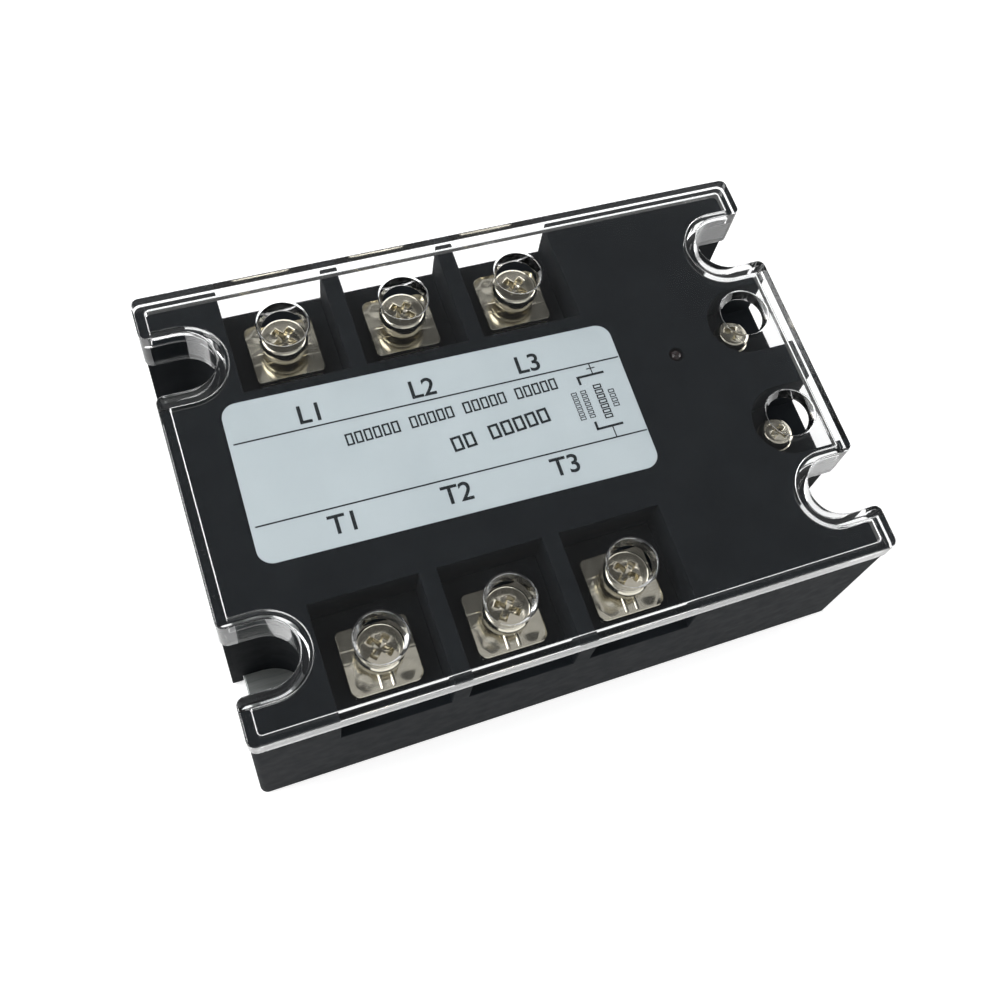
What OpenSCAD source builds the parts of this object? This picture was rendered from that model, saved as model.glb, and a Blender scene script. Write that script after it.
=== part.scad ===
// Three-phase panel-mount solid state relay under a snap-on finger-safe cover.
// Origin: centre of the base plate's underside. +X points to the control terminals,
// +Y to terminal row 1, +Z up. All sizes are in millimetres.

/* [Cover] */
// Length over the clear cover
cover_l = 105; // [104:0.5:108]
// Width over the clear cover
cover_w = 74.2; // [74:0.1:76]
// Height from the underside to the top of the cover
relay_h = 34.3; // [34.3:0.1:36]
// Thickness of the cover's top plate
cover_t = 2.0; // [1.6:0.1:2.2]
// Thickness of the cover's rim
rim_t = 1.7; // [1.1:0.1:2.0]
// Corner radius of the cover
cover_r = 1.4; // [0.5:0.1:2]
// Radius of a power driver hole at its top edge
driver_hole_r = 4.05; // [3.8:0.05:4.3]
// Radius of a control driver hole at its top edge
control_hole_r = 4.3; // [4:0.05:4.6]
// How much narrower in radius a driver hole is at the bottom
driver_hole_taper = 0.65; // [0.2:0.05:0.9]

/* [Housing] */
// Height of the housing's top face
housing_top = 30.5; // [30.3:0.1:30.6]
// Gap between the housing's sides and the cover's outline
housing_inset = 0.27; // [0.1:0.01:0.5]
// Gap between the mounting surface and the housing's lower edge
housing_lift = 0.3; // [0.1:0.1:0.5]
// General wall thickness
wall = 1.9; // [1.6:0.1:2]
// Height of the floor of every terminal pocket
pocket_floor = 22.8; // [22.6:0.1:23]

/* [Mounting] */
// Distance between the slot centres along the length
slot_pitch_x = 92; // [91.5:0.5:92.5]
// Distance between the slot centres across the width
slot_pitch_y = 49; // [48:0.5:50]
// Half of a mounting slot's width
slot_r = 2.5; // [2.1:0.1:2.6]
// End-to-end length of a mounting slot
slot_l = 6.4; // [5.6:0.2:6.6]
// Radius of the housing's corner notches
notch_r = 6.55; // [6.4:0.05:6.6]
// Distance of a notch's arc centre from the middle of the length
notch_x = 47.1; // [46.8:0.1:47.2]
// Distance of a notch's centre line from the middle of the width
notch_y = 24.4; // [24.2:0.1:24.6]
// Thickness of the base plate
base_t = 3.0; // [2.6:0.1:3.2]

/* [Power terminals] */
// Distance between neighbouring phases
phase_pitch = 19.95; // [19.8:0.05:20.1]
// X of the middle phase
phase_mid_x = -10.85; // [-11:0.05:-10.7]
// Distance of each screw row from the centre line
row_y = 27.1; // [27:0.1:27.4]
// Width of a power pocket
pocket_w = 17.1; // [16.6:0.1:17.4]
// Distance of a power pocket's inner wall from the centre line
pocket_in_y = 18.3; // [18:0.1:18.6]
// Width of a clamp plate
clamp_w = 11.3; // [10.8:0.1:11.6]
// Thickness of a clamp plate
clamp_t = 1.2; // [1:0.1:1.2]
// Height of a power screw's head above the underside at rest
power_head_top = 30.0; // [29.9:0.1:30.1]
// Radius of a power screw's head
power_head_r = 3.9; // [3.6:0.1:4]

/* [Control terminals] */
// X of the control screws
control_x = 44.8; // [44.6:0.1:45]
// Distance of a control screw from the centre line
control_y = 10; // [9.9:0.1:10.1]
// Radius of a control pocket
control_pocket_r = 6.3; // [6:0.1:6.4]
// Height of a control screw's head above the underside at rest
control_head_top = 26.8; // [26.7:0.1:27]
// Radius of a control screw's head
control_head_r = 3.0; // [2.7:0.1:3.1]

/* [Label and lamp] */
// Length of the label
label_l = 65.1; // [60:0.1:66]
// Width of the label
label_w = 27.4; // [25:0.1:28]
// Angle at which the label was stuck on
label_turn = -1.1; // [-1.5:0.1:1.5]
// X of the status lamp
led_x = 31.2; // [30:0.1:32]
// Y of the status lamp
led_y = 6.7; // [6:0.1:7]

/* [Hidden] */

$fn = 64;
CUT = 1;                       // how far a cutting shape runs past the face it cuts
PHASE_X = [for (k = [-1 : 1]) phase_mid_x + k * phase_pitch];
SIDES = [1, -1];

housing_l = cover_l - 2 * housing_inset;
housing_w = cover_w - 2 * housing_inset;
housing_r = 1.2;
rim_gap = 0.1;                 // free height between the rim and the housing
guard_r_in = 5.1;              // inside of the cover's notch guards
guard_r_out = notch_r - 0.2;   // outside of the guards, clear of the housing
guard_bottom = 25.6;
mouth_r = 1.3;                 // rounding where a guard meets the cover's end

plate_l = 100.6;
plate_w = 69.2;
plate_fit = 0.2;               // gap around the base plate
cavity_half_l = 48.5;
cavity_half_w = 15.9;
bay_half_w = 33;               // half width of the low bay over the base plate
bay_top = 11.5;
hall_half_w = 16.4;            // the high hall that holds the circuit board
hall_end_x = 37.2;
hall_roof_t = 2;

board_z = 12;
board_t = 1.6;
board_top = board_z + board_t;

insulator_t = 0.63;
spreader_t = 0.8;
chip_t = 0.4;
chip_y = 8.5;
chip_w = 8;
spreader_z = base_t + insulator_t;
chip_z = spreader_z + spreader_t;
foot_z = chip_z + chip_t;
gate_x = 3.5;                  // offset of a gate lead from the middle of its chip
gate_r = 0.3;

bar_t = 1;
bar_w = 6;
bar_pad_w = 10;
bar_leg_y = 21.9;              // outer faces of the legs and the pads' inner edges
bar_pad_end = 32.2;
nut_af = 7;                    // width across a power nut's flats
nut_h = 3.2;
nut_top = pocket_floor - 0.05;
power_shank_r = 1.95;
power_shank_l = 10;
power_head_h = 2.8;
power_washer_t = 1;
washer_gap = 0.05;             // free height between a washer and its head
power_bore_bottom = 15.4;

clamp_in = 5.2;                // from the screw to a clamp plate's inner edge
clamp_out = 5.6;               // from the screw to its outer edge
clamp_z = pocket_floor + bar_t;
clamp_r = 1.4;

control_head_h = 2.3;
control_washer_t = 0.7;
control_shank_r = 1.45;
control_shank_l = 8;
insert_r = 2.6;
insert_top = pocket_floor + 0.1;
insert_l = 5;
insert_bottom = insert_top - insert_l;
contact_t = 0.8;
contact_z = insert_bottom - contact_t;
low_roof_z = 20.2;             // ceiling of the cavity under the control pockets

label_t = 0.15;
label_x = -11.4;
label_y = 2.4;
label_r = 2.5;
led_r = 1.15;

// ---- shared shapes ----

// Flat rectangle centred on the origin with round corners
module round_rect(l, w, r) {
    square([l - 2 * r, w], center = true);
    square([l, w - 2 * r], center = true);
    for (sx = SIDES) for (sy = SIDES)
        translate([sx * (l / 2 - r), sy * (w / 2 - r)]) circle(r);
}

// The same rectangle as a plate standing at height z
module round_plate(l, w, r, h, z = 0) {
    translate([0, 0, z]) linear_extrude(h) round_rect(l, w, r);
}

module box(x0, x1, y0, y1, z0, z1) {
    translate([x0, y0, z0]) cube([x1 - x0, y1 - y0, z1 - z0]);
}

// Copies its children into the four corner notches, mouth towards each end
module at_notches() {
    for (sx = SIDES) for (sy = SIDES)
        translate([sx * notch_x, sy * notch_y]) mirror([sx < 0 ? 1 : 0, 0, 0]) children();
}

// Flat U with a round blind end at the origin, open along +X
module u_shape(r, reach) {
    circle(r);
    translate([0, -r]) square([reach, 2 * r]);
}

// Copies its children to every power terminal, turned so that +Y is outwards
module at_power_terminals() {
    for (x = PHASE_X) for (s = SIDES) at_terminal(x, s) children();
}

module at_terminal(x, s) {
    translate([x, s * row_y, 0]) mirror([0, s < 0 ? 1 : 0, 0]) children();
}

// Copies its children to both chips of every phase, +Y outwards
module at_chips() {
    for (x = PHASE_X) for (s = SIDES)
        translate([x, s * chip_y, 0]) mirror([0, s < 0 ? 1 : 0, 0]) children();
}

module hex_prism(af, h) {
    cylinder(r = af / 2 / cos(30), h = h, $fn = 6);
}

// Pan head with a cross recess, standing on z = 0
module cross_pan_head(r, h, arm_l, arm_w, recess) {
    dome_r = (r * r + h * h) / (2 * h) * 1.35;
    difference() {
        intersection() {
            cylinder(r = r, h = h);
            translate([0, 0, h - dome_r]) sphere(dome_r);
        }
        for (turn = [45, 135]) rotate(turn)
            translate([-arm_l / 2, -arm_w / 2, h - recess]) cube([arm_l, arm_w, recess + CUT]);
    }
}

// Split ring seen from above, its cut along +X
module split_ring(r_out, r_in, t, cut_w) {
    difference() {
        cylinder(r = r_out, h = t);
        translate([0, 0, -CUT]) cylinder(r = r_in, h = t + 2 * CUT);
        translate([0, -cut_w / 2, -CUT]) cube([r_out + CUT, cut_w, t + 2 * CUT]);
    }
}

// ---- fixed parts ----

module housing_cavities() {
    // seat of the base plate
    round_plate(plate_l + plate_fit, plate_w + plate_fit, 1, base_t, 0);
    // low bay over the plate, and its narrow arms between the notches
    half_bay = notch_x - notch_r - wall;
    box(-half_bay, half_bay, -bay_half_w, bay_half_w, base_t - CUT, bay_top);
    box(-cavity_half_l, cavity_half_l, -cavity_half_w, cavity_half_w,
        base_t - CUT, low_roof_z);
    // high hall for the circuit board and what stands on it
    box(-cavity_half_l, hall_end_x, -cavity_half_w, cavity_half_w,
        board_z, housing_top - hall_roof_t);
    box(-half_bay, hall_end_x, -hall_half_w, hall_half_w,
        base_t, housing_top - hall_roof_t);
}

module housing_pockets() {
    at_power_terminals() {
        // pocket, open upwards and outwards
        box(-pocket_w / 2, pocket_w / 2, pocket_in_y - row_y, cover_w,
            pocket_floor, housing_top + CUT);
        // nut seat, screw bore and the busbar's way down
        translate([0, 0, nut_top - nut_h]) hex_prism(nut_af + 0.1, nut_h + CUT);
        translate([0, 0, power_bore_bottom]) cylinder(r = 2.4, h = pocket_floor);
        box(-bar_w / 2 - 0.1, bar_w / 2 + 0.1, bar_leg_y - row_y - 0.1,
            bar_leg_y + bar_t - row_y + 0.1, bay_top - CUT, pocket_floor + CUT);
    }
    for (s = SIDES) translate([0, s * control_y, 0]) {
        translate([control_x + 0.5, 0, pocket_floor])
            linear_extrude(housing_top) u_shape(control_pocket_r, cover_l);
        translate([control_x, 0, contact_z]) cylinder(r = insert_r, h = housing_top);
    }
}

module control_bosses() {
    for (s = SIDES) translate([control_x, s * control_y, insert_bottom])
        cylinder(r = insert_r + 1.2, h = insert_l);
}

module board_posts() {
    for (x = [-44, 33.5]) for (s = SIDES)
        translate([x, s * 12, board_top])
            cylinder(r = 1.8, h = housing_top - hall_roof_t - board_top + CUT);
}

module housing() {
    color([0.15, 0.165, 0.175]) difference() {
        union() {
            difference() {
                round_plate(housing_l, housing_w, housing_r,
                    housing_top - housing_lift, housing_lift);
                housing_cavities();
            }
            control_bosses();
            board_posts();
        }
        housing_pockets();
        translate([0, 0, -CUT]) linear_extrude(housing_top + 2 * CUT)
            at_notches() u_shape(notch_r, cover_l);
        translate([led_x, led_y, 0]) cylinder(r = led_r + 0.1, h = housing_top + CUT);
    }
}

module base_plate() {
    color([0.62, 0.63, 0.64]) difference() {
        round_plate(plate_l, plate_w, 0.9, base_t);
        for (sx = SIDES) for (sy = SIDES)
            translate([sx * slot_pitch_x / 2, sy * slot_pitch_y / 2, -CUT])
                linear_extrude(base_t + 2 * CUT) {
                    square([slot_l - 2 * slot_r, 2 * slot_r], center = true);
                    for (e = SIDES) translate([e * (slot_l / 2 - slot_r), 0]) circle(slot_r);
                }
    }
}

// Outline of the cover with its four notches, their mouths rounded off
module cover_outline() {
    difference() {
        round_rect(cover_l, cover_w, cover_r);
        at_notches() {
            u_shape(guard_r_in, cover_l);
            mouth_x = cover_l / 2 - notch_x - mouth_r;
            for (s = SIDES) difference() {
                translate([mouth_x, s * guard_r_in - (s < 0 ? mouth_r : 0)])
                    square([2 * mouth_r, mouth_r]);
                translate([mouth_x, s * (guard_r_in + mouth_r)]) circle(mouth_r);
            }
        }
    }
}

// Tapered hole through the cover's top plate, cut on past both of its faces
module driver_hole(x, y, top_r) {
    slope = driver_hole_taper / cover_t;
    translate([x, y, relay_h - cover_t - CUT])
        cylinder(r1 = top_r - slope * (cover_t + CUT), r2 = top_r + slope * CUT,
            h = cover_t + 2 * CUT);
}

module clear_cover() {
    rim_bottom = housing_top + rim_gap;
    color([0.9, 0.93, 0.95, 0.35]) difference() {
        union() {
            // top plate
            translate([0, 0, relay_h - cover_t]) linear_extrude(cover_t) cover_outline();
            // rim around the edge and around the notches
            translate([0, 0, rim_bottom]) linear_extrude(relay_h - rim_bottom) difference() {
                cover_outline();
                difference() {
                    round_rect(cover_l - 2 * rim_t, cover_w - 2 * rim_t, cover_r - 0.6);
                    at_notches() u_shape(guard_r_in + rim_t, cover_l);
                }
            }
            // notch guards, which line the housing's notches
            translate([0, 0, guard_bottom]) linear_extrude(relay_h - guard_bottom)
                intersection() {
                    cover_outline();
                    at_notches() u_shape(guard_r_out, cover_l);
                }
        }
        for (x = PHASE_X) for (s = SIDES) driver_hole(x, s * row_y, driver_hole_r);
        for (s = SIDES) driver_hole(control_x, s * control_y, control_hole_r);
    }
}

module label() {
    color([0.8, 0.84, 0.86]) translate([label_x, label_y, 0]) rotate(label_turn)
        round_plate(label_l, label_w, label_r, label_t, housing_top);
}

module status_led() {
    flange_z = 25.4;
    dome_z = housing_top + 0.2 - led_r;
    color([0.45, 0.05, 0.05]) translate([led_x, led_y, 0]) {
        translate([0, 0, flange_z]) cylinder(r = led_r + 0.5, h = 1);
        translate([0, 0, flange_z]) cylinder(r = led_r, h = dome_z - flange_z);
        translate([0, 0, dome_z]) sphere(led_r);
    }
}

module led_leads() {
    color([0.75, 0.75, 0.76]) for (s = SIDES)
        translate([led_x + s * 0.7, led_y, board_top]) cylinder(r = 0.25, h = 25.4 - board_top);
}

module circuit_board() {
    board_x0 = -47;
    board_x1 = 47;
    board_half_w = 15.3;
    color([0.1, 0.35, 0.2]) difference() {
        box(board_x0, board_x1, -board_half_w, board_half_w, board_z, board_top);
        at_chips() translate([gate_x, 0, board_z - CUT])
            cylinder(r = gate_r + 0.1, h = board_t + 2 * CUT);
    }
}

module optocouplers() {
    color([0.12, 0.12, 0.13]) for (x = PHASE_X)
        box(x - 3.5, x + 3.5, -3.2, 3.2, board_top, board_top + 3.4);
}

module resistors() {
    color([0.78, 0.68, 0.5]) for (x = PHASE_X) for (s = SIDES)
        translate([x - 3.2, s * 12.6, board_top + 1.2]) rotate([0, 90, 0])
            cylinder(r = 1.2, h = 6.4);
}

module capacitors() {
    color([0.75, 0.55, 0.15]) for (x = PHASE_X)
        box(x + 5.6, x + 10.2, -5, 5, board_top, board_top + 8);
}

module ceramic_insulators() {
    color([0.93, 0.93, 0.9]) for (x = PHASE_X)
        box(x - 8, x + 8, -15, 15, base_t, spreader_z);
}

module heat_spreaders() {
    color([0.72, 0.45, 0.25]) at_chips() box(-6, 6, -5.5, 5.5, spreader_z, chip_z);
}

module thyristor_chips() {
    color([0.35, 0.36, 0.4])
        at_chips() box(-chip_w / 2, chip_w / 2, -chip_w / 2, chip_w / 2, chip_z, foot_z);
}

module gate_leads() {
    color([0.75, 0.75, 0.76]) at_chips()
        translate([gate_x, 0, foot_z]) cylinder(r = gate_r, h = board_top + 1 - foot_z);
}

module potting_compound() {
    potting_top = 9;
    half_bay = notch_x - notch_r - wall;
    color([0.2, 0.2, 0.21]) difference() {
        box(-half_bay, half_bay, -bay_half_w, bay_half_w, base_t, potting_top);
        // room for each phase's stack and busbar feet
        for (x = PHASE_X) box(x - 8.1, x + 8.1, -bar_leg_y - bar_t - 0.1,
            bar_leg_y + bar_t + 0.1, base_t - CUT, foot_z + bar_t + 0.1);
        at_power_terminals() box(-bar_w / 2 - 0.1, bar_w / 2 + 0.1,
            bar_leg_y - row_y - 0.1, bar_leg_y + bar_t - row_y + 0.1, foot_z, potting_top + CUT);
        at_chips() translate([gate_x, 0, foot_z]) cylinder(r = gate_r + 0.1, h = potting_top);
    }
}

module power_nuts() {
    color([0.7, 0.69, 0.66]) at_power_terminals() translate([0, 0, nut_top - nut_h])
        difference() {
            hex_prism(nut_af, nut_h);
            translate([0, 0, -CUT]) cylinder(r = power_shank_r + 0.06, h = nut_h + 2 * CUT);
        }
}

// Pad under the clamp, a leg down through the housing and a foot on the chip
module busbar(k, s) {
    color([0.74, 0.72, 0.66]) at_terminal(PHASE_X[k], s) difference() {
        union() {
            box(-bar_pad_w / 2, bar_pad_w / 2, bar_leg_y - row_y, bar_pad_end - row_y,
                pocket_floor, pocket_floor + bar_t);
            box(-bar_w / 2, bar_w / 2, bar_leg_y - row_y, bar_leg_y + bar_t - row_y,
                foot_z, pocket_floor + bar_t);
            box(-bar_w / 2, bar_w / 2, chip_y - 3 - row_y, bar_leg_y + bar_t - row_y,
                foot_z, foot_z + bar_t);
        }
        translate([0, 0, pocket_floor - CUT]) cylinder(r = 2.3, h = bar_t + 2 * CUT);
    }
}

// Brass sleeve moulded into the control pocket's floor
module control_insert(s) {
    color([0.78, 0.66, 0.4]) translate([control_x, s * control_y, insert_bottom])
        difference() {
            cylinder(r = insert_r, h = insert_l);
            translate([0, 0, -CUT]) cylinder(r = control_shank_r + 0.06, h = insert_l + 2 * CUT);
        }
}

// Tab under the insert with a pin down to the circuit board
module control_contact(s) {
    color([0.75, 0.75, 0.76]) translate([control_x, s * control_y, 0]) difference() {
        union() {
            translate([0, 0, contact_z]) cylinder(r = insert_r, h = contact_t);
            box(-4.4, 0, -0.8, 0.8, contact_z, contact_z + contact_t);
            box(-4.4, -3.6, -0.8, 0.8, board_top, contact_z + contact_t);
        }
        translate([0, 0, contact_z - CUT]) cylinder(r = 1.8, h = contact_t + 2 * CUT);
    }
}

// ---- moving parts ----

// Square clamp plate: round outer corners, a cross groove and a wire step
module clamp(k, s) {
    color([0.66, 0.64, 0.58]) at_terminal(PHASE_X[k], s) difference() {
        translate([0, (clamp_out - clamp_in) / 2, 0])
            round_plate(clamp_w, clamp_out + clamp_in, clamp_r, clamp_t, clamp_z);
        translate([0, 0, clamp_z - CUT]) cylinder(r = 2.25, h = clamp_t + 2 * CUT);
        box(-clamp_w, clamp_w, 0.3, 1.1, clamp_z + clamp_t - 0.2, clamp_z + clamp_t + CUT);
        for (e = SIDES) translate([e * clamp_w / 2, 0.7, clamp_z - CUT])
            cylinder(r = 0.45, h = clamp_t + 2 * CUT);
    }
}

module spring_washer(k, s) {
    z = power_head_top - power_head_h - washer_gap - power_washer_t;
    color([0.7, 0.68, 0.63]) at_terminal(PHASE_X[k], s)
        translate([0, 0, z]) rotate(70) split_ring(3.6, 2.1, power_washer_t, 0.7);
}

module power_screw(k, s) {
    seat = power_head_top - power_head_h;
    color([0.68, 0.66, 0.6]) at_terminal(PHASE_X[k], s) {
        translate([0, 0, seat]) cross_pan_head(power_head_r, power_head_h, 4.6, 1, 1.8);
        translate([0, 0, seat - power_shank_l]) cylinder(r = power_shank_r, h = power_shank_l);
    }
}

module control_washer(s) {
    z = control_head_top - control_head_h - washer_gap - control_washer_t;
    color([0.7, 0.68, 0.63]) translate([control_x, s * control_y, z]) rotate(-30)
        split_ring(3.2, 1.65, control_washer_t, 0.5);
}

module control_screw(s) {
    seat = control_head_top - control_head_h;
    color([0.68, 0.66, 0.6]) translate([control_x, s * control_y, 0]) {
        translate([0, 0, seat]) cross_pan_head(control_head_r, control_head_h, 3.4, 0.8, 1.4);
        translate([0, 0, seat - control_shank_l])
            cylinder(r = control_shank_r, h = control_shank_l);
    }
}

// ---- one line for each node ----

housing();
base_plate();
clear_cover();
label();
status_led();
led_leads();
circuit_board();
optocouplers();
resistors();
capacitors();
ceramic_insulators();
heat_spreaders();
thyristor_chips();
gate_leads();
potting_compound();
power_nuts();
busbar(0, 1);  // busbar_a1
busbar(1, 1);  // busbar_b1
busbar(2, 1);  // busbar_c1
busbar(0, -1);  // busbar_a2
busbar(1, -1);  // busbar_b2
busbar(2, -1);  // busbar_c2
clamp(0, 1);  // clamp_a1
clamp(1, 1);  // clamp_b1
clamp(2, 1);  // clamp_c1
clamp(0, -1);  // clamp_a2
clamp(1, -1);  // clamp_b2
clamp(2, -1);  // clamp_c2
spring_washer(0, 1);  // spring_washer_a1
spring_washer(1, 1);  // spring_washer_b1
spring_washer(2, 1);  // spring_washer_c1
spring_washer(0, -1);  // spring_washer_a2
spring_washer(1, -1);  // spring_washer_b2
spring_washer(2, -1);  // spring_washer_c2
power_screw(0, 1);  // screw_a1
power_screw(1, 1);  // screw_b1
power_screw(2, 1);  // screw_c1
power_screw(0, -1);  // screw_a2
power_screw(1, -1);  // screw_b2
power_screw(2, -1);  // screw_c2
control_insert(1);  // control_insert_plus
control_insert(-1);  // control_insert_minus
control_contact(1);  // control_contact_plus
control_contact(-1);  // control_contact_minus
control_washer(1);  // control_washer_plus
control_washer(-1);  // control_washer_minus
control_screw(1);  // control_screw_plus
control_screw(-1);  // control_screw_minus
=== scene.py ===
"""Looks for a three-phase solid state relay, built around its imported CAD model.

Everything is in metres and in the CAD frame: +X points to the control terminals, +Y to
terminal row 1 and +Z up. MM turns the millimetres that the values are written in to metres.
"""

import math

import bmesh
import bpy
from mathutils import Euler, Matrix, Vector
from mathutils.geometry import delaunay_2d_cdt


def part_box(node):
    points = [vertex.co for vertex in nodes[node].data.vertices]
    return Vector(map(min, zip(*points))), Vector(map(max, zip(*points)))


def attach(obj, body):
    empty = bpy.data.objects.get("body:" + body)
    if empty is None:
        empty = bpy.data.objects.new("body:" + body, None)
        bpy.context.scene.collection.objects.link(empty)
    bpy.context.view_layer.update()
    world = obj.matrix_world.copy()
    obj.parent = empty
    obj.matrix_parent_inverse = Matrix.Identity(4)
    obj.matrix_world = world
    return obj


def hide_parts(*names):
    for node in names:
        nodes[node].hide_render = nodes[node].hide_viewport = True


MM = 0.001
TAU = 2 * math.pi
TINY = 1e-9                        # keeps a division clear of zero
ROW_TAGS = ("a1", "b1", "c1", "a2", "b2", "c2")
CONTROL_TAGS = ("plus", "minus")

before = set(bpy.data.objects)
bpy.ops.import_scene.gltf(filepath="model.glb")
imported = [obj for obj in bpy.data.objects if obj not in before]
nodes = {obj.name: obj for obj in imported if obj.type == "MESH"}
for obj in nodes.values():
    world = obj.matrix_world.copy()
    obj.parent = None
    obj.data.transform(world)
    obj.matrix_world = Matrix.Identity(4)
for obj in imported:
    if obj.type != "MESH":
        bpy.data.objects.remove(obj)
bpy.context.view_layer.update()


# ---------------------------------------------------------------- small helpers

def centre_of(node):
    low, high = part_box(node)
    return (low + high) / 2


def smoothstep(edge0, edge1, value):
    """0 before edge0, 1 after edge1 and a smooth ramp between them."""
    t = min(1.0, max(0.0, (value - edge0) / (edge1 - edge0)))
    return t * t * (3 - 2 * t)


def bump(distance, half_width):
    """1 in the middle, falling smoothly to 0 at half_width."""
    return 1 - smoothstep(0, half_width, abs(distance))


def link_mesh(name, mesh):
    obj = bpy.data.objects.new(name, mesh)
    bpy.context.scene.collection.objects.link(obj)
    return obj


def mesh_object(name, verts, faces, crease=40):
    """A new object from points in metres, smooth but for edges sharper than crease degrees."""
    mesh = bpy.data.meshes.new(name)
    mesh.from_pydata([tuple(v) for v in verts], [], faces)
    mesh.validate()
    bm = bmesh.new()
    bm.from_mesh(mesh)
    bmesh.ops.recalc_face_normals(bm, faces=bm.faces)
    bm.to_mesh(mesh)
    bm.free()
    mesh.shade_smooth()
    mesh.set_sharp_from_angle(angle=math.radians(crease))
    return link_mesh(name, mesh)


def finish_piece(obj, body, material, slot, *replaced):
    obj.data.materials.clear()
    obj.data.materials.append(material)
    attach(obj, body)
    if replaced:
        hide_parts(*replaced)
    return obj


def grid_shell(rows, closed_ends=True):
    """Points and faces of a tube through rows of points, all of one length and each closed
    on itself. With closed_ends, the first and last rows are capped by a fan."""
    count = len(rows[0])
    verts = [p for row in rows for p in row]
    faces = []
    for r in range(len(rows) - 1):
        for i in range(count):
            j = (i + 1) % count
            a, b = r * count, (r + 1) * count
            faces.append((a + i, a + j, b + j, b + i))
    if closed_ends:
        for row_start, row in ((0, rows[0]), ((len(rows) - 1) * count, rows[-1])):
            middle = sum((Vector(p) for p in row), Vector()) / count
            verts.append(tuple(middle))
            tip = len(verts) - 1
            for i in range(count):
                faces.append((row_start + i, row_start + (i + 1) % count, tip))
    return verts, faces


def ring(radius, z, count):
    return [
        (radius * math.cos(TAU * i / count), radius * math.sin(TAU * i / count), z)
        for i in range(count)
    ]


def join_shells(shells):
    """One list of points and faces out of several."""
    verts, faces = [], []
    for shell_verts, shell_faces in shells:
        start = len(verts)
        verts.extend(shell_verts)
        faces.extend(tuple(start + i for i in face) for face in shell_faces)
    return verts, faces


# ---------------------------------------------------------------- materials

NOISE_ROUGHNESS = 0.55             # how much the finer layers of every noise count
SHADE_OF_CLEAR = (0.93, 0.94, 0.94, 1)


class Shader:
    """A node material around one Principled shader, with object coordinates at hand."""

    def __init__(self, name, **constants):
        self.material = bpy.data.materials.new(name)
        self.material.use_nodes = True
        self.tree = self.material.node_tree
        self.principled = self.tree.nodes["Principled BSDF"]
        self.coords = self.tree.nodes.new("ShaderNodeTexCoord")
        for socket, value in constants.items():
            self.set(socket.replace("_", " "), value)

    def set(self, socket, value):
        self.principled.inputs[socket].default_value = value

    def link(self, source, socket):
        self.tree.links.new(source, self.principled.inputs[socket])

    def stretched(self, scale):
        """Object coordinates scaled by a factor for each axis."""
        mapping = self.tree.nodes.new("ShaderNodeMapping")
        mapping.inputs["Scale"].default_value = scale
        self.tree.links.new(self.coords.outputs["Object"], mapping.inputs["Vector"])
        return mapping.outputs["Vector"]

    def noise(self, size_mm, detail=3.0, stretch=(1, 1, 1)):
        """Noise between 0 and 1 with blobs of about size_mm."""
        node = self.tree.nodes.new("ShaderNodeTexNoise")
        node.inputs["Scale"].default_value = 1 / (size_mm * MM)
        node.inputs["Detail"].default_value = detail
        node.inputs["Roughness"].default_value = NOISE_ROUGHNESS
        self.tree.links.new(self.stretched(stretch), node.inputs["Vector"])
        return node.outputs["Fac"]

    def ramp(self, source, stops):
        """Colours or greys at places along source: stops holds (place, colour) pairs."""
        node = self.tree.nodes.new("ShaderNodeValToRGB")
        ramp = node.color_ramp
        while len(ramp.elements) < len(stops):
            ramp.elements.new(0.5)
        for element, (place, colour) in zip(ramp.elements, stops):
            element.position = place
            element.color = (*colour, 1)
        self.tree.links.new(source, node.inputs["Fac"])
        return node.outputs["Color"]

    def between(self, source, low, high):
        """source, from 0.3 to 0.7, spread from low to high."""
        node = self.tree.nodes.new("ShaderNodeMapRange")
        node.inputs["From Min"].default_value = 0.3
        node.inputs["From Max"].default_value = 0.7
        node.inputs["To Min"].default_value = low
        node.inputs["To Max"].default_value = high
        self.tree.links.new(source, node.inputs["Value"])
        return node.outputs["Result"]

    def add_bump(self, layers):
        """Bump from (source, depth in mm) pairs, laid over each other."""
        normal = None
        for source, depth_mm in layers:
            node = self.tree.nodes.new("ShaderNodeBump")
            node.inputs["Strength"].default_value = 1.0
            node.inputs["Distance"].default_value = depth_mm * MM
            self.tree.links.new(source, node.inputs["Height"])
            if normal is not None:
                self.tree.links.new(normal, node.inputs["Normal"])
            normal = node.outputs["Normal"]
        self.link(normal, "Normal")

    def lamps_pass(self):
        """Lets lamps shine through glass, which otherwise shadows what is behind it."""
        nt = self.tree
        path = nt.nodes.new("ShaderNodeLightPath")
        clear = nt.nodes.new("ShaderNodeBsdfTransparent")
        clear.inputs["Color"].default_value = SHADE_OF_CLEAR
        mix = nt.nodes.new("ShaderNodeMixShader")
        output = nt.nodes["Material Output"]
        nt.links.new(path.outputs["Is Shadow Ray"], mix.inputs["Fac"])
        nt.links.new(self.principled.outputs["BSDF"], mix.inputs[1])
        nt.links.new(clear.outputs["BSDF"], mix.inputs[2])
        nt.links.new(mix.outputs["Shader"], output.inputs["Surface"])


def moulded_plastic(name, dark, light):
    """Spark-eroded moulded plastic: fine grain, faint flow marks and an uneven gloss."""
    grain_mm, grain_depth = 0.2, 0.005
    flow_mm, flow_depth = 7, 0.004
    s = Shader(name, IOR=1.5, Specular_IOR_Level=0.035)
    s.link(s.ramp(s.noise(9, 4), [(0.35, dark), (0.65, light)]), "Base Color")
    s.link(s.between(s.noise(2.5, 5), 0.6, 0.7), "Roughness")
    s.add_bump([(s.noise(grain_mm, 2), grain_depth), (s.noise(flow_mm, 1), flow_depth)])
    return s.material


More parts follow.
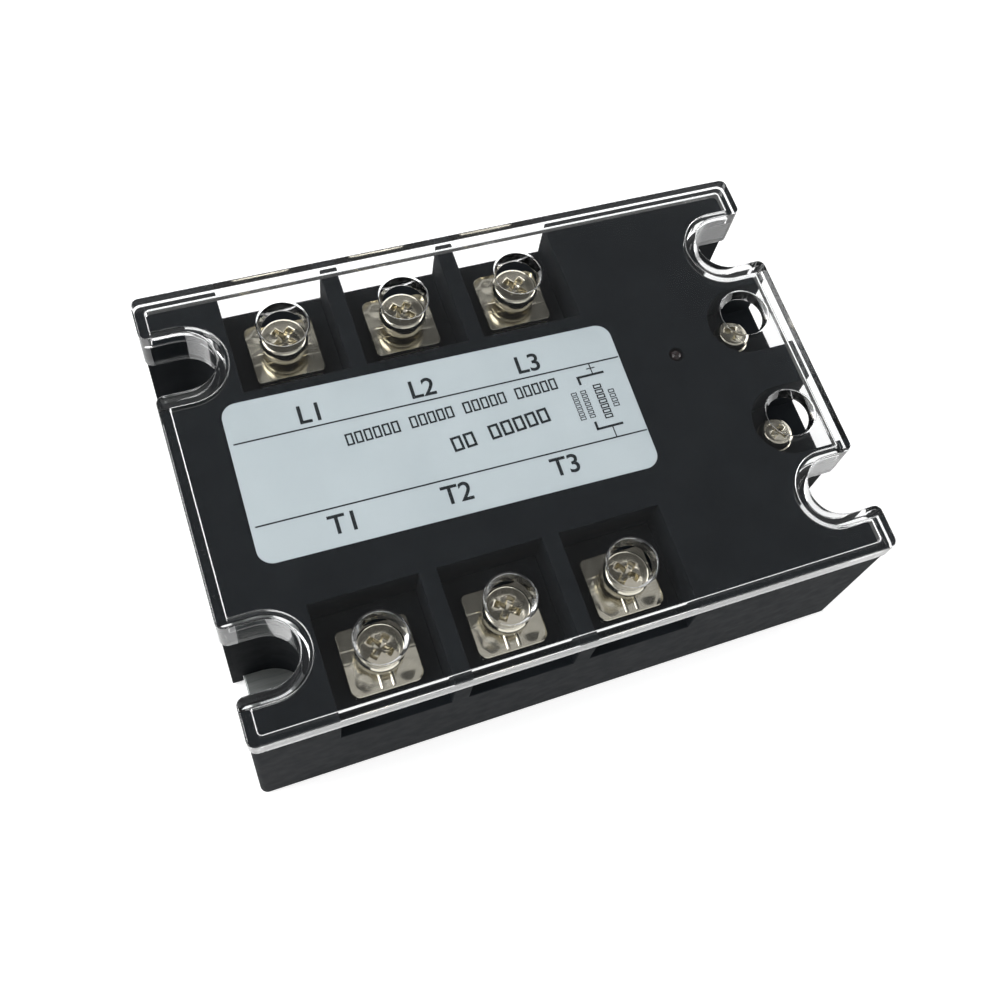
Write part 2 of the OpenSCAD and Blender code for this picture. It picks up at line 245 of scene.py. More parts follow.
def plated_metal(name, dark, light, rough=(0.11, 0.17), lay=(1, 1, 1)):
    """Bright plating over pressed or turned metal, faintly uneven. rough is the lowest and
    highest roughness, and lay stretches its pattern."""
    wave_mm, wave_depth = 2.6, 0.002
    s = Shader(name, Metallic=1.0)
    s.link(s.ramp(s.noise(3, 3), [(0.3, dark), (0.7, light)]), "Base Color")
    s.link(s.between(s.noise(1.6, 3, stretch=lay), *rough), "Roughness")
    s.add_bump([(s.noise(wave_mm, 1), wave_depth)])
    return s.material


def clear_polycarbonate():
    """Clear refractive plastic with a slight waviness, as moulded sheet has."""
    s = Shader("clear_polycarbonate", Transmission_Weight=1.0, IOR=1.58)
    s.set("Base Color", (0.985, 0.99, 0.99, 1))
    s.link(s.between(s.noise(6, 4), 0.02, 0.07), "Roughness")
    s.add_bump([(s.noise(7, 1), 0.006)])
    s.lamps_pass()
    return s.material


def label_film():
    """Silver polyester film: pale, satin, and a little uneven where it is stuck down."""
    s = Shader("silver_label_film", IOR=1.5)
    tone = s.noise(14, 3, stretch=(1, 0.6, 1))
    s.link(s.ramp(tone, [(0.3, (0.42, 0.47, 0.495)), (0.7, (0.46, 0.51, 0.535))]), "Base Color")
    s.link(s.between(s.noise(1.5, 4), 0.33, 0.45), "Roughness")
    s.set("Metallic", 0.12)
    s.add_bump([(s.noise(0.3, 2), 0.002), (s.noise(6, 2), 0.012)])
    return s.material


def printing_ink():
    """Black screen-printing ink with a fine grain."""
    s = Shader("printing_ink", IOR=1.5, Specular_IOR_Level=0.15)
    tone = s.noise(0.5, 3)
    s.link(s.ramp(tone, [(0.3, (0.006, 0.008, 0.01)), (0.75, (0.012, 0.015, 0.018))]), "Base Color")
    s.link(s.between(s.noise(0.8, 3), 0.4, 0.6), "Roughness")
    s.add_bump([(s.noise(0.15, 2), 0.002)])
    return s.material


def lamp_lens():
    """Dark red lens of an unlit lamp."""
    s = Shader("diffused_red_lens", IOR=1.52, Transmission_Weight=0.1)
    s.link(s.ramp(s.noise(0.6, 2), [(0.3, (0.006, 0.002, 0.0025)), (0.7, (0.011, 0.003, 0.004))]),
           "Base Color")
    s.link(s.between(s.noise(0.4, 3), 0.16, 0.3), "Roughness")
    s.add_bump([(s.noise(0.3, 2), 0.004)])
    return s.material


def shade_darkened_brushed_aluminium():
    """Aluminium with brushed lines along X, its colour darkened well below bare aluminium's to
    paint in the shade that the plate lies in under the housing.
    """
    s = Shader("shade_darkened_brushed_aluminium", Metallic=1.0)
    lines = s.noise(0.22, 4, stretch=(0.03, 1, 1))
    # painted shade: both tones are darkened to stand for the shade over the plate, not the metal's
    # own colour
    s.link(s.ramp(lines, [(0.3, (0.22, 0.235, 0.23)), (0.7, (0.31, 0.325, 0.32))]), "Base Color")
    s.link(s.between(lines, 0.42, 0.56), "Roughness")
    s.add_bump([(lines, 0.004), (s.noise(5, 3), 0.008)])
    return s.material


def plain_material(name, dark, light, size_mm, rough, depth_mm, **constants):
    """A finish for a part inside the housing: two close tones, uneven gloss and relief."""
    s = Shader(name, **constants)
    s.link(s.ramp(s.noise(size_mm, 4), [(0.3, dark), (0.7, light)]), "Base Color")
    s.link(s.between(s.noise(size_mm / 2, 3), *rough), "Roughness")
    s.add_bump([(s.noise(size_mm / 3, 3), depth_mm)])
    return s.material


MATERIALS = {
    "housing_plastic": moulded_plastic(
        "black_moulded_plastic", (0.0068, 0.0082, 0.0100), (0.0088, 0.0105, 0.0124)),
    "clear_plastic": clear_polycarbonate(),
    "label_film": label_film(),
    "base_metal": shade_darkened_brushed_aluminium(),
    "plated_steel": plated_metal(
        "nickel_plated_steel", (0.635, 0.60, 0.505), (0.705, 0.67, 0.57)),
    "tinned_copper": plated_metal(
        "tinned_copper", (0.56, 0.54, 0.50), (0.68, 0.66, 0.61), (0.26, 0.42), (6, 1, 1)),
    "copper": plain_material(
        "bare_copper", (0.62, 0.28, 0.15), (0.75, 0.38, 0.22), 1.5, (0.25, 0.42), 0.004,
        Metallic=1.0),
    "brass_insert": plain_material(
        "turned_brass", (0.62, 0.47, 0.22), (0.74, 0.58, 0.30), 0.8, (0.2, 0.36), 0.004,
        Metallic=1.0),
    "tinned_wire": plain_material(
        "tinned_wire", (0.58, 0.58, 0.58), (0.70, 0.70, 0.70), 0.8, (0.25, 0.4), 0.003,
        Metallic=1.0),
    "board_laminate": plain_material(
        "green_laminate", (0.012, 0.075, 0.035), (0.02, 0.11, 0.05), 1.2, (0.3, 0.45), 0.01),
    "chip_epoxy": plain_material(
        "moulded_epoxy", (0.012, 0.012, 0.013), (0.02, 0.02, 0.021), 0.8, (0.5, 0.65), 0.006),
    "resistor_body": plain_material(
        "lacquered_resistor", (0.42, 0.30, 0.16), (0.52, 0.39, 0.22), 1.0, (0.25, 0.4), 0.006),
    "capacitor_body": plain_material(
        "dipped_capacitor", (0.42, 0.20, 0.02), (0.55, 0.29, 0.04), 1.6, (0.2, 0.35), 0.02),
    "ceramic": plain_material(
        "alumina_sheet", (0.70, 0.70, 0.66), (0.80, 0.80, 0.77), 1.0, (0.4, 0.55), 0.004),
    "silicon": plain_material(
        "passivated_silicon", (0.05, 0.055, 0.07), (0.09, 0.095, 0.11), 2.0, (0.1, 0.2), 0.002),
    "potting_resin": plain_material(
        "cured_resin", (0.012, 0.012, 0.013), (0.022, 0.022, 0.024), 3.0, (0.3, 0.5), 0.02),
    "lamp_red": lamp_lens(),
}
INK = printing_ink()

# CAD nodes that show as they are take their slot's material
for node in nodes.values():
    for slot in node.material_slots:
        slot.material = MATERIALS[slot.material.name.split(".")[0]]


# ---------------------------------------------------------------- rounded copies of CAD shapes

WELD_MM = 0.06                     # points closer than this are one point
SHARP = math.radians(30)           # an edge that turns more than this is rounded or kept sharp
LEVEL = math.radians(0.3)          # faces that turn less than this are one flat region
FLAT_ENOUGH = math.radians(0.05)   # faces that turn less than this are joined at the start
LEAST_FLAT = 100 * MM * MM         # smaller flat regions are left as they are
BORDER = 1.3                       # border of a refilled region, in widths of the rounding
ROOM = 1.05                        # least length beside a rounded edge, in the same widths
IN_LINE = 0.87                     # cosine above which two edges run on in one line


def flat_regions(bm):
    """Groups of joined faces that lie in one plane."""
    seen, regions = set(), []
    for first in bm.faces:
        if first in seen:
            continue
        seen.add(first)
        region = [first]
        for face in region:
            for edge in face.edges:
                for near in edge.link_faces:
                    if near not in seen and near.normal.angle(first.normal, math.pi) < LEVEL:
                        seen.add(near)
                        region.append(near)
        regions.append(region)
    return regions


def rim_edges(region):
    """Edges of a region that aren't between two of its faces."""
    inside = set(region)
    return list(dict.fromkeys(
        edge for face in region for edge in face.edges
        if not all(near in inside for near in edge.link_faces)
    ))


def encloses(segments, point):
    """Whether point is inside the outline that the segments make, in any order. It is if an
    odd number of them cross the line from point along +X."""
    odd = False
    for a, b in segments:
        crosses = (a.y > point.y) != (b.y > point.y)
        if crosses and point.x < (b.x - a.x) * (point.y - a.y) / (b.y - a.y) + a.x:
            odd = not odd
    return odd


def refill(bm, region):
    """Fills a flat region anew with triangles, so that no seam runs close beside a hole."""
    exactness = 1e-6
    least_height = 1e-4
    rim = rim_edges(region)
    normal = region[0].normal.copy()
    axis_x = normal.orthogonal().normalized()
    axis_y = normal.cross(axis_x)
    corners = list(dict.fromkeys(corner for edge in rim for corner in edge.verts))
    number = {corner: i for i, corner in enumerate(corners)}
    flat = [Vector((c.co.dot(axis_x), c.co.dot(axis_y))) / MM for c in corners]
    pairs = [(number[e.verts[0]], number[e.verts[1]]) for e in rim]
    placed, _, triangles, origins = delaunay_2d_cdt(flat, pairs, [], 0, exactness)[:4]
    if not all(origins[i] for triangle in triangles for i in triangle):
        return                     # edges cross here, so the region keeps its own faces
    segments = [(flat[a], flat[b]) for a, b in pairs]
    bmesh.ops.delete(bm, geom=region, context="FACES")
    for triangle in triangles:
        a, b, c = (placed[i] for i in triangle)
        height = abs((b - a).cross(c - a)) / max((b - a).length, (c - b).length, (a - c).length)
        if height > least_height and encloses(segments, (a + b + c) / 3):
            face = bm.faces.new([corners[origins[i][0]] for i in triangle])
            face.normal_update()
            if face.normal.dot(normal) < 0:
                face.normal_flip()


def border_flats(bm, border, shows):
    """Refills each large flat region, inside an even border if its edges can be seen."""
    for region in flat_regions(bm):
        if len(region) > 1 and sum(face.calc_area() for face in region) > LEAST_FLAT:
            if any(shows(edge) for edge in rim_edges(region)):
                bmesh.ops.inset_region(
                    bm, faces=region, thickness=border, use_even_offset=True,
                    use_boundary=True)
            refill(bm, region)


def has_room(edge, width):
    """Whether the faces beside an edge are wide enough for a rounding of this width."""
    along = (edge.verts[1].co - edge.verts[0].co).normalized()
    for loop in edge.link_loops:
        for near in (loop.link_loop_prev.edge, loop.link_loop_next.edge):
            side = near.verts[1].co - near.verts[0].co
            turns_off = abs(side.normalized().dot(along)) < IN_LINE
            if turns_off and side.length < ROOM * width:
                return False
    return True


def always(edge):
    """For a node with every edge in sight."""
    return True


def rounded_copy(node, name, body, slot, width_mm, shows=always, segments=3):
    """A copy of a CAD node with its edges rounded, which stands for the node. shows tells
    whether an edge can be seen at all: an edge that can't stays sharp."""
    width = width_mm * MM
    bm = bmesh.new()
    bm.from_mesh(nodes[node].data)
    bmesh.ops.remove_doubles(bm, verts=bm.verts, dist=WELD_MM * MM)
    bmesh.ops.dissolve_limit(bm, angle_limit=FLAT_ENOUGH, verts=bm.verts, edges=bm.edges)
    border_flats(bm, BORDER * width, shows)
    weight = bm.edges.layers.float.new("bevel_weight_edge")
    for edge in bm.edges:
        if edge.calc_face_angle(0) > SHARP:
            if has_room(edge, width) and shows(edge):
                edge[weight] = 1.0
            else:
                edge.smooth = False
    mesh = bpy.data.meshes.new(name)
    bm.to_mesh(mesh)
    bm.free()
    if "custom_normal" in mesh.attributes:
        mesh.attributes.remove(mesh.attributes["custom_normal"])
    for polygon in mesh.polygons:
        polygon.use_smooth = True
    obj = link_mesh(name, mesh)
    bevel = obj.modifiers.new("rounding", "BEVEL")
    bevel.width = width
    bevel.segments = segments
    bevel.limit_method = "WEIGHT"
    bevel.use_clamp_overlap = False
    bevel.harden_normals = True
    return finish_piece(obj, body, MATERIALS[slot], slot, node)


def outside_cavities(edge):
    """True but for the housing's edges below its pockets and within its outer walls."""
    pocket_floor = 22.0 * MM
    low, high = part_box("housing")
    wall = 2.2 * MM
    return any(
        corner.co.z > pocket_floor
        or abs(corner.co.x) > high.x - wall
        or abs(corner.co.y) > high.y - wall
        for corner in edge.verts
    )


def off_the_rims_foot(edge):
    """True but for the cover's edges where its rim stands on the housing."""
    foot_low, foot_high = 30.5 * MM, 30.7 * MM
    highest = max(corner.co.z for corner in edge.verts)
    return highest > foot_high or highest < foot_low


rounded_copy("housing", "housing_moulding", "relay_base", "housing_plastic", 0.2,
             outside_cavities)
rounded_copy("base_plate", "aluminium_base", "relay_base", "base_metal", 0.25)
rounded_copy("clear_cover", "cover_moulding", "cover", "clear_plastic", 0.25,
             off_the_rims_foot)
rounded_copy("label", "label_sheet", "relay_base", "label_film", 0.05, segments=2)


# ---------------------------------------------------------------- screws

def cross_angles(reach, half_width, turn):
    """Directions from a cross recess's middle to points spread evenly along its edge."""
    corner = math.atan2(half_width, reach)
    side_steps = 5
    end = [-corner, -corner / 2, 0, corner / 2, corner]
    side = [
        math.atan2(half_width, reach + (half_width - reach) * k / side_steps)
        for k in range(1, side_steps + 1)
    ]
    next_side = [TAU / 4 - angle for angle in reversed(side[:-1])]
    quarter = end + side + next_side
    return [turn + q * TAU / 4 + angle for q in range(4) for angle in quarter]


def cross_reach(angle, reach, half_width):
    """Distance from the middle of a cross to its edge in a direction."""
    c, s = abs(math.cos(angle)), abs(math.sin(angle))
    return min(reach / max(c, s), half_width / max(min(c, s), TINY))


def pan_head(radius, height, reach, half_width, depth, turn):
    """Pan head standing on z = 0, its top domed, with a tapered cross recess."""
    angles = cross_angles(reach, half_width, turn)
    crown_r = radius - 0.5
    crown_z = 0.93 * height

    def dome(r):
        return crown_z + (height - crown_z) * (1 - (r / crown_r) ** 2)

    def circle(r, z):
        return [(r * math.cos(a), r * math.sin(a), z) for a in angles]

    def cross(arm, half, grow, sink):
        row = []
        for a in angles:
            r = cross_reach(a - turn, arm, half) + grow
            row.append((r * math.cos(a), r * math.sin(a), dome(r) - sink))
        return row

    side = (
        (radius * 0.3, 0), (radius - 0.22, 0), (radius - 0.06, 0.07), (radius, 0.24),
        (radius, 0.6 * height), (radius - 0.05, 0.71 * height), (radius - 0.2, 0.83 * height),
        (radius - 0.36, 0.9 * height),
    )
    rows = [circle(r, z) for r, z in side]
    for share in (1.0, 0.93, 0.86):
        rows.append(circle(crown_r * share, dome(crown_r * share)))
    # the recess: a raised lip, a rounded edge, tapered walls and a hollow floor
    for arm, half, grow, sink in (
        (reach, half_width, 0.16, 0), (reach, half_width, 0.07, -0.015),
        (reach, half_width, 0, 0.03), (reach * 0.97, half_width * 0.95, 0, 0.12),
        (reach * 0.86, half_width * 0.84, 0, 0.5 * depth),
        (reach * 0.66, half_width * 0.7, 0, 0.86 * depth),
        (reach * 0.34, half_width * 0.45, 0, depth),
    ):
        rows.append(cross(arm, half, grow, sink))
    return grid_shell(rows)


def threaded_shank(radius, length, pitch, angles=48):
    """Shank from z = 0 down to -length with a helical thread and a chamfered tip."""
    thread_h = 0.54 * pitch
    tip_h = 0.8
    per_turn = 8
    count = int(length / pitch * per_turn)
    rows = []
    for k in range(count + 1):
        z = -length * k / count
        tip = smoothstep(0, tip_h, length + z)
        row = []
        for i in range(angles):
            angle = TAU * i / angles
            phase = (z / pitch - angle / TAU) % 1.0
            crest = 1 - abs(2 * phase - 1)
            flank = smoothstep(0.18, 0.82, crest)
            r = radius - thread_h * (1 - flank)
            r = min(r, radius - thread_h * (1 - tip) * 1.25)
            row.append((r * math.cos(angle), r * math.sin(angle), z))
        rows.append(row)
    return grid_shell(rows)


def screw_mesh(name, head, shank, overlap):
    """Head and shank as one mesh in metres, with the head's underside at z = 0."""
    shank_verts, shank_faces = shank
    raised = [(x, y, z + overlap) for x, y, z in shank_verts]
    verts, faces = join_shells([head, (raised, shank_faces)])
    return mesh_object(name, [Vector(v) * MM for v in verts], faces, 38)


# Head radius and height, cross recess, shank radius, thread pitch and shank length, in mm.
# A recess is its arms' reach, their half width and its depth.
POWER_SCREW = (3.88, 2.8, (2.15, 0.6, 1.7), 1.95, 0.7, 10)
CONTROL_SCREW = (2.98, 2.3, (1.7, 0.48, 1.4), 1.45, 0.5, 8)
SHANK_OVERLAP = 0.1                # how far the shank reaches into the head
# How far each screw happens to be turned, in degrees
POWER_TURNS = {"a1": 41, "b1": 47, "c1": 38, "a2": 44, "b2": 52, "c2": 40}
CONTROL_TURNS = {"plus": 62, "minus": 30}


def place_screw(node, body, turn, size):
    """Detailed screw in place of a CAD one, its head's top where the CAD head's top is."""
    radius, height, recess, shank_r, pitch, length = size
    low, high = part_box(node)
    middle = (low + high) / 2
    head = pan_head(radius, height, *recess, math.radians(turn))
    shank = threaded_shank(shank_r, length, pitch)
    obj = screw_mesh(node + "_detail", head, shank, SHANK_OVERLAP)
    obj.location = (middle.x, middle.y, high.z - height * MM)
    finish_piece(obj, body, MATERIALS["plated_steel"], "plated_steel", node)


for tag, turn in POWER_TURNS.items():
    place_screw("screw_" + tag, tag + "_screw", turn, POWER_SCREW)
for tag, turn in CONTROL_TURNS.items():
    place_screw("control_screw_" + tag, "control_" + tag + "_screw", turn, CONTROL_SCREW)


# ---------------------------------------------------------------- spring washers

# Inner radius, outer radius, thickness and rise from one end of the cut to the other, in mm
POWER_WASHER = (2.15, 3.55, 0.75, 0.22)
CONTROL_WASHER = (1.7, 3.15, 0.55, 0.14)


def spring_washer(node, body, cut_angle, size, steps=96):
    """Split lock washer: a rounded square section swept along a shallow helix."""
    inner, outer, thick, rise = size
    middle = centre_of(node)
    corner = 0.18
    gap = 0.6
    half_w, half_h = (outer - inner) / 2, thick / 2
    section = []
    for sx, sz, start in ((1, 1, 0), (-1, 1, 90), (-1, -1, 180), (1, -1, 270)):
        for a in (0, 30, 60, 90):
            angle = math.radians(start + a)
            section.append((
                sx * (half_w - corner) + corner * math.cos(angle),
                sz * (half_h - corner) + corner * math.sin(angle),
            ))
    half_gap = math.degrees(gap / 2 / outer)
    rows = []
    for k in range(steps + 1):
        t = k / steps
        angle = math.radians(cut_angle + half_gap + t * (360 - 2 * half_gap))
        mid_r = (inner + outer) / 2
        lift = (t - 0.5) * rise
        rows.append([
            ((mid_r + u) * math.cos(angle), (mid_r + u) * math.sin(angle), v + lift)
            for u, v in section
        ])
    verts, faces = grid_shell(rows)
    obj = mesh_object(node + "_detail", [Vector(v) * MM for v in verts], faces, 50)
    obj.location = middle
    finish_piece(obj, body, MATERIALS["plated_steel"], "plated_steel", node)


for tag in ROW_TAGS:
    cut = 70 if tag.endswith("1") else -70
    spring_washer("spring_washer_" + tag, tag + "_washer", cut, POWER_WASHER)
for tag in CONTROL_TAGS:
    spring_washer("control_washer_" + tag, "control_" + tag + "_washer", -30, CONTROL_WASHER)


# ---------------------------------------------------------------- clamp plates

PLATE_T = 1.2
PLATE_HALF_W = 5.65
PLATE_IN = 5.2                     # reach from the screw's axis towards the label
PLATE_OUT = 5.6                    # reach from the screw's axis towards the wire
PLATE_BORE = 2.3                   # radius


def plate_outline(angle):
    """Distance from the bore's axis to the plate's edge in a direction. +Y is outwards."""
    inner_r, outer_r = 0.9, 1.5
    c, s = math.cos(angle), math.sin(angle)
    reach_y = PLATE_OUT if s > 0 else PLATE_IN
    r = outer_r if s > 0 else inner_r
    limits = []
    if abs(c) > TINY:
        limits.append(PLATE_HALF_W / abs(c))
    if abs(s) > TINY:
        limits.append(reach_y / abs(s))
    reach = min(limits)
    cx, cy = PLATE_HALF_W - r, reach_y - r
    if reach * abs(c) > cx and reach * abs(s) > cy:
        along = abs(c) * cx + abs(s) * cy
        reach = along + math.sqrt(max(0.0, along * along - cx * cx - cy * cy + r * r))
    return reach


def plate_relief(u, v):
    """Height in mm of the plate's upper face above its flat level. v is outwards."""
    z = 0.0
    # two pressed lines across the plate
    for line in (-1.7, 0.2):
        z -= 0.07 * bump(v - line, 0.12)
    # the wire side slopes down outwards and is slightly crowned from side to side
    z -= 0.075 * max(0.0, v - 0.2)
    z -= 0.09 * smoothstep(0.2, 1.6, v) * (u / PLATE_HALF_W) ** 2
    # two ridges from the screw to the outer edge
    ends = smoothstep(2.2, 2.6, v) * (1 - smoothstep(5.0, 5.4, v))
    z += 0.16 * ends * (bump(u - 0.9, 0.36) + bump(u + 0.9, 0.36))
    for side in (-1, 1):
        # pressed dimples either side of the ridges
        z -= 0.12 * bump(math.hypot(u - side * 3.3, v - 3.5), 1.7)
        # corners that droop a little
        z -= 0.25 * bump(math.hypot(u - side * PLATE_HALF_W, v - PLATE_OUT), 2.0)
    return z


def clamp_plate(tag, outward):
    """Clamp plate with relief, its bore at the screw's axis, turned to face outwards."""
    node = "clamp_" + tag
    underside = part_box(node)[0].z
    screw = centre_of("screw_" + tag)
    angles, rings = 256, 46
    round_r = 0.2
    relief_share = 0.965           # the relief ends this far out, near the rounded edge
    rows = []

    def relief_row(share):
        row = []
        for i in range(angles):
            a = TAU * i / angles
            r = PLATE_BORE + share * (plate_outline(a) - PLATE_BORE)
            x, y = r * math.cos(a), r * math.sin(a)
            row.append((x, y, PLATE_T + plate_relief(x, y)))
        return row

    def edge_row(inset, z):
        row = []
        for i in range(angles):
            a = TAU * i / angles
            r = plate_outline(a) - inset
            row.append((r * math.cos(a), r * math.sin(a), z))
        return row

    rows.append(ring(PLATE_BORE + 0.1, 0, angles))
    rows.append(edge_row(round_r, 0))
    rows.append(edge_row(round_r * 0.3, round_r * 0.3))
    rows.append(edge_row(0, round_r))
    rows.append(edge_row(0, PLATE_T - round_r))
    rows.append(edge_row(round_r * 0.13, PLATE_T - round_r * 0.5))
    rows.append(edge_row(round_r * 0.5, PLATE_T - round_r * 0.13))
    for k in range(rings + 1):
        rows.append(relief_row(relief_share * (1 - k / rings)))
    rows.append(ring(PLATE_BORE, 0.1, angles))
    verts, faces = grid_shell(rows, closed_ends=False)
    last = (len(rows) - 1) * angles
    for i in range(angles):
        j = (i + 1) % angles
        faces.append((last + i, last + j, j, i))
    obj = mesh_object(node + "_detail", [Vector(v) * MM for v in verts], faces, 55)
    obj.location = (screw.x, screw.y, underside)
    if outward < 0:
        obj.rotation_euler = (0, 0, math.pi)
    finish_piece(obj, tag + "_clamp", MATERIALS["plated_steel"], "plated_steel", node)


for tag in ROW_TAGS:
    clamp_plate(tag, 1 if tag.endswith("1") else -1)


# ---------------------------------------------------------------- printing on the label

PRINT_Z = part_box("label")[1].z + 0.012 * MM
PRINT_T = 0.02 * MM                # the lower part is sunk in the film
LABEL_TURN = math.radians(-0.8)    # the rules and marks run slightly askew
MARK_SIZE = 4.5
MARK_BOLDER = 0.065                # how far the marks' outlines are moved out


def print_piece(obj):
    """Gives a piece of print the ink material and hangs it on the relay's base."""
    finish_piece(obj, "relay_base", INK, "label_film")


def printed_bars(name, bars):
    """One piece out of flat bars, each given as middle x, y, length, width and turn."""
    shells = []
    for x, y, length, width, turn in bars:
        c, s = math.cos(turn), math.sin(turn)
        corners = []
        for sx, sy in ((-1, -1), (1, -1), (1, 1), (-1, 1)):
            u, v = sx * length / 2, sy * width / 2
            corners.append(((x + u * c - v * s) * MM, (y + u * s + v * c) * MM))
        verts = [(px, py, PRINT_Z - PRINT_T) for px, py in corners]
        verts += [(px, py, PRINT_Z) for px, py in corners]
        faces = [(3, 2, 1, 0), (4, 5, 6, 7)]
        faces += [(i, (i + 1) % 4, 4 + (i + 1) % 4, 4 + i) for i in range(4)]
        shells.append((verts, faces))
    verts, faces = join_shells(shells)
    print_piece(mesh_object(name, verts, faces))


def printed_text(name, text, x, y, size, turn):
    """Generic terminal marking as a thin mesh centred on x, y."""
    curve = bpy.data.curves.new(name, "FONT")
    curve.body = text
    curve.size = size * MM
    curve.align_x = "CENTER"
    curve.align_y = "CENTER"
    curve.extrude = PRINT_T / 2
    curve.offset = MARK_BOLDER * MM
    text_obj = bpy.data.objects.new(name + "_curve", curve)
    bpy.context.scene.collection.objects.link(text_obj)
    bpy.context.view_layer.update()
    depsgraph = bpy.context.evaluated_depsgraph_get()
    mesh = bpy.data.meshes.new_from_object(text_obj.evaluated_get(depsgraph))
    bpy.data.objects.remove(text_obj)
    bm = bmesh.new()
    bm.from_mesh(mesh)
    bmesh.ops.remove_doubles(bm, verts=bm.verts, dist=PRINT_T / 10)
    bmesh.ops.recalc_face_normals(bm, faces=bm.faces)
    bm.to_mesh(mesh)
    bm.free()
    obj = link_mesh(name, mesh)
    obj.location = (x * MM, y * MM, PRINT_Z - PRINT_T / 2)
    obj.rotation_euler = (0, 0, turn)
    print_piece(obj)


RULE_L = 64.2
RULE_W = 0.26
printed_bars("print_rule_upper", [(-11.0, 9.25, RULE_L, RULE_W, LABEL_TURN)])
printed_bars("print_rule_lower", [(-11.25, -4.85, RULE_L, RULE_W, LABEL_TURN)])

# Line and load side of each phase
MARKS = {
    "print_mark_L1": ("L1", -30.5, 11.8), "print_mark_L2": ("L2", -12.4, 11.5),
    "print_mark_L3": ("L3", 5.75, 11.35), "print_mark_T1": ("T1", -30.5, -7.5),
    "print_mark_T2": ("T2", -12.6, -7.65), "print_mark_T3": ("T3", 5.6, -7.8),
}
for name, (text, x, y) in MARKS.items():
    printed_text(name, text, x, y, MARK_SIZE, LABEL_TURN)


def flat_frame(x, y, turn, half_w, half_h, stroke):
    """Points and faces of an open rectangle of ink around x, y, as one closed shell."""
    c, s = math.cos(turn), math.sin(turn)
    verts = []
    for z in (PRINT_Z - PRINT_T, PRINT_Z):
        for inset in (0, stroke):
            for side_u, side_v in ((-1, -1), (1, -1), (1, 1), (-1, 1)):
                u, v = side_u * (half_w - inset), side_v * (half_h - inset)
                verts.append(((x + u * c - v * s) * MM, (y + u * s + v * c) * MM, z))
    faces = []
    for i in range(4):
        j = (i + 1) % 4
        faces.append((i, j, 8 + j, 8 + i))
        faces.append((4 + j, 4 + i, 12 + i, 12 + j))
        faces.append((8 + i, 8 + j, 12 + j, 12 + i))
        faces.append((j, i, 4 + i, 4 + j))
    return verts, faces


def framed_words(name, x, y, turn, height, words, pitch, stroke):
    """Stand-in for a line of type: an open frame for each letter. words lists how many
    letters each word has, and x, y is the middle of the line's left end. height is a
    letter's, pitch is from one letter to the next, and stroke is its lines' width."""
    shells, at = [], 0.0
    wide = 0.62 * pitch
    for letters in words:
        for _ in range(letters):
            u = at + wide / 2
            shells.append(flat_frame(x + u * math.cos(turn), y + u * math.sin(turn), turn,
                                     (wide + stroke) / 2, height / 2, stroke))
            at += pitch
        at += pitch
    verts, faces = join_shells(shells)
    print_piece(mesh_object(name, verts, faces))


framed_words("print_title", -26.4, 5.9, math.radians(1.4), 2.1, (6, 5, 5, 5), 1.5, 0.3)
framed_words("print_second", -10.6, 0.6, math.radians(4), 2.6, (2, 5), 2.15, 0.42)
UPWARDS = math.radians(90)
for k, (x, y, letters, pitch, height, stroke) in enumerate((
        (11.3, -0.8, 7, 0.76, 1.0, 0.15), (12.95, -0.8, 7, 0.76, 1.0, 0.15),
        (15.6, -1.5, 7, 0.94, 1.45, 0.22), (17.6, 0.2, 4, 0.86, 1.05, 0.16))):
    framed_words(f"print_side_{k}", x, y, UPWARDS, height, (letters,), pitch, stroke)

# A bracket above and below the small lines, each with a wire to its rule, and a small cross
BRACKET_W = 0.42
WIRE_W = 0.2
printed_bars("print_control_bracket", [
    (15.2, 6.75, 4.9, BRACKET_W, 0), (13.0, 6.1, BRACKET_W, 1.5, 0),
    (15.1, -3.05, 4.7, BRACKET_W, 0), (12.95, -2.4, BRACKET_W, 1.5, 0),
    (15.7, 7.8, WIRE_W, 2.1, 0), (15.5, -4.1, WIRE_W, 2.0, 0),
    (15.7, 7.95, 1.5, WIRE_W, 0),
])


# ---------------------------------------------------------------- floor, light and camera

def studio_floor():
    half = 6.0
    z = -0.02 * MM                 # just under the part, so that the two don't share a plane
    mesh = bpy.data.meshes.new("studio_floor")
    mesh.from_pydata(
        [(-half, -half, z), (half, -half, z), (half, half, z), (-half, half, z)],
        [], [(0, 1, 2, 3)])
    floor = link_mesh("studio_floor", mesh)
    s = Shader("pale_floor")
    s.link(s.ramp(s.noise(60, 2), [(0.3, (0.86, 0.86, 0.86)), (0.7, (0.88, 0.88, 0.88))]),
           "Base Color")
    s.set("Roughness", 0.8)
    s.set("Specular IOR Level", 0.2)
    s.set("Emission Color", (1, 1, 1, 1))
    s.set("Emission Strength", 0.5)
    mesh.materials.append(s.material)


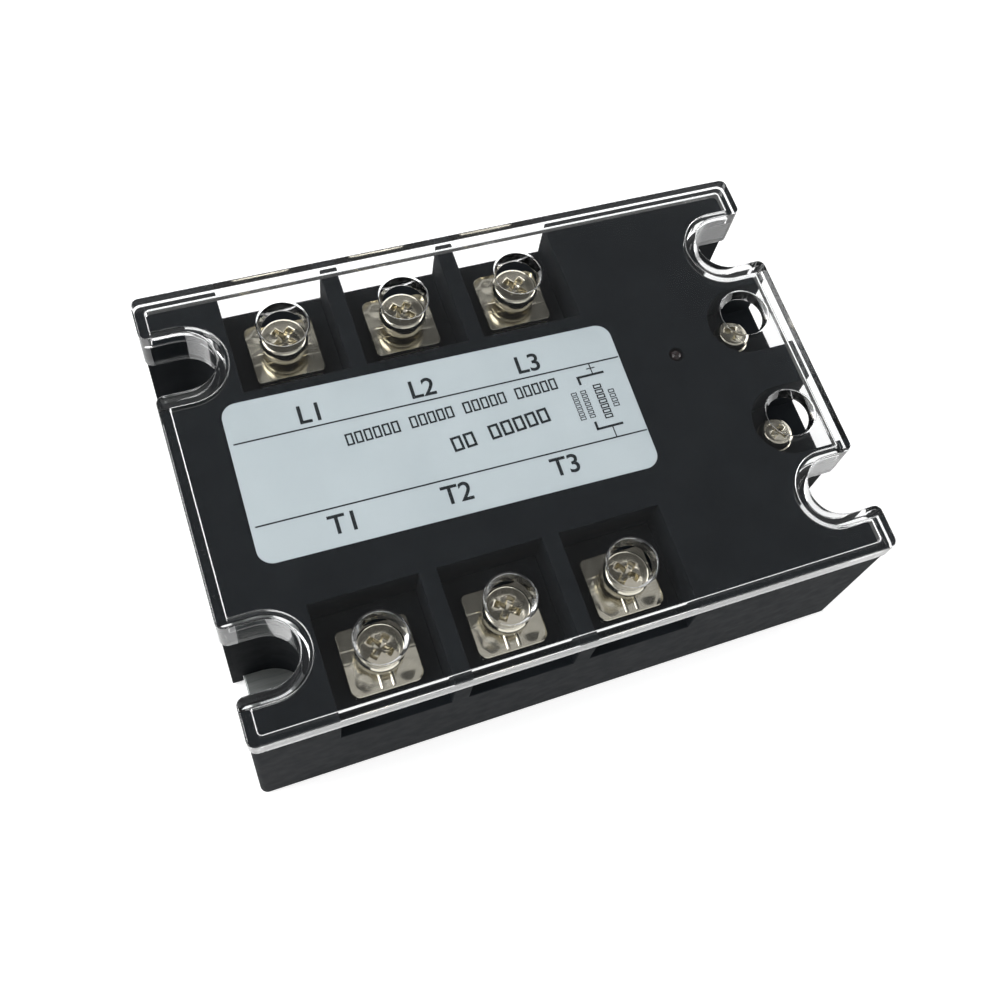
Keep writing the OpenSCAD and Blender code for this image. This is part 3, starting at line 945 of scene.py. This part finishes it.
def area_light(name, place, size, power, aim=(0, 0, 0.015)):
    """Softbox at a place, size metres wide and high, that faces the point aim."""
    data = bpy.data.lights.new(name, "AREA")
    data.shape = "RECTANGLE"
    data.size, data.size_y = size
    data.energy = power
    obj = bpy.data.objects.new(name, data)
    obj.location = place
    obj.rotation_euler = (Vector(aim) - Vector(place)).to_track_quat("-Z", "Y").to_euler()
    bpy.context.scene.collection.objects.link(obj)


studio_floor()
area_light("softbox_top", (0.3, -0.45, 0.9), (1.6, 1.1), 2.6, aim=(0.3, -0.45, 0))
area_light("softbox_left", (-0.62, 0.12, 0.55), (0.6, 0.6), 5.2)
area_light("softbox_front", (0.1, -0.75, 0.42), (0.8, 0.4), 0.8)
area_light("softbox_back", (0.15, 0.85, 0.35), (0.9, 0.3), 3.0)
area_light("softbox_right", (0.8, -0.1, 0.3), (0.5, 0.4), 3.6)


def studio_world():
    """A room that is bright near the horizon and dark overhead, as under a light tent's lid."""
    world = bpy.data.worlds.new("studio")
    bpy.context.scene.world = world
    world.use_nodes = True
    tree = world.node_tree
    coords = tree.nodes.new("ShaderNodeTexCoord")
    split = tree.nodes.new("ShaderNodeSeparateXYZ")
    ramp = tree.nodes.new("ShaderNodeValToRGB")
    stops = [(0.0, 0.6), (0.35, 0.5), (0.62, 0.19), (0.8, 0.085), (1.0, 0.08)]
    while len(ramp.color_ramp.elements) < len(stops):
        ramp.color_ramp.elements.new(0.5)
    for element, (place, grey) in zip(ramp.color_ramp.elements, stops):
        element.position = place
        element.color = (grey, grey, grey, 1)
    tree.links.new(coords.outputs["Generated"], split.inputs["Vector"])
    tree.links.new(split.outputs["Z"], ramp.inputs["Fac"])
    tree.links.new(ramp.outputs["Color"], tree.nodes["Background"].inputs["Color"])


studio_world()

# Seen from above, and a little from the front and the left
camera_data = bpy.data.cameras.new("camera")
camera_data.sensor_width = 36
camera_data.lens = 45.779
camera_data.shift_x = -0.0947
camera_data.shift_y = -0.0460
camera = bpy.data.objects.new("camera", camera_data)
camera.location = (-51.499 * MM, -78.026 * MM, 214.360 * MM)
camera.rotation_euler = Euler([math.radians(a) for a in (25.418, -10.328, -20.641)], "XYZ")
bpy.context.scene.collection.objects.link(camera)
bpy.context.scene.camera = camera
bpy.context.scene.view_settings.view_transform = "Standard"
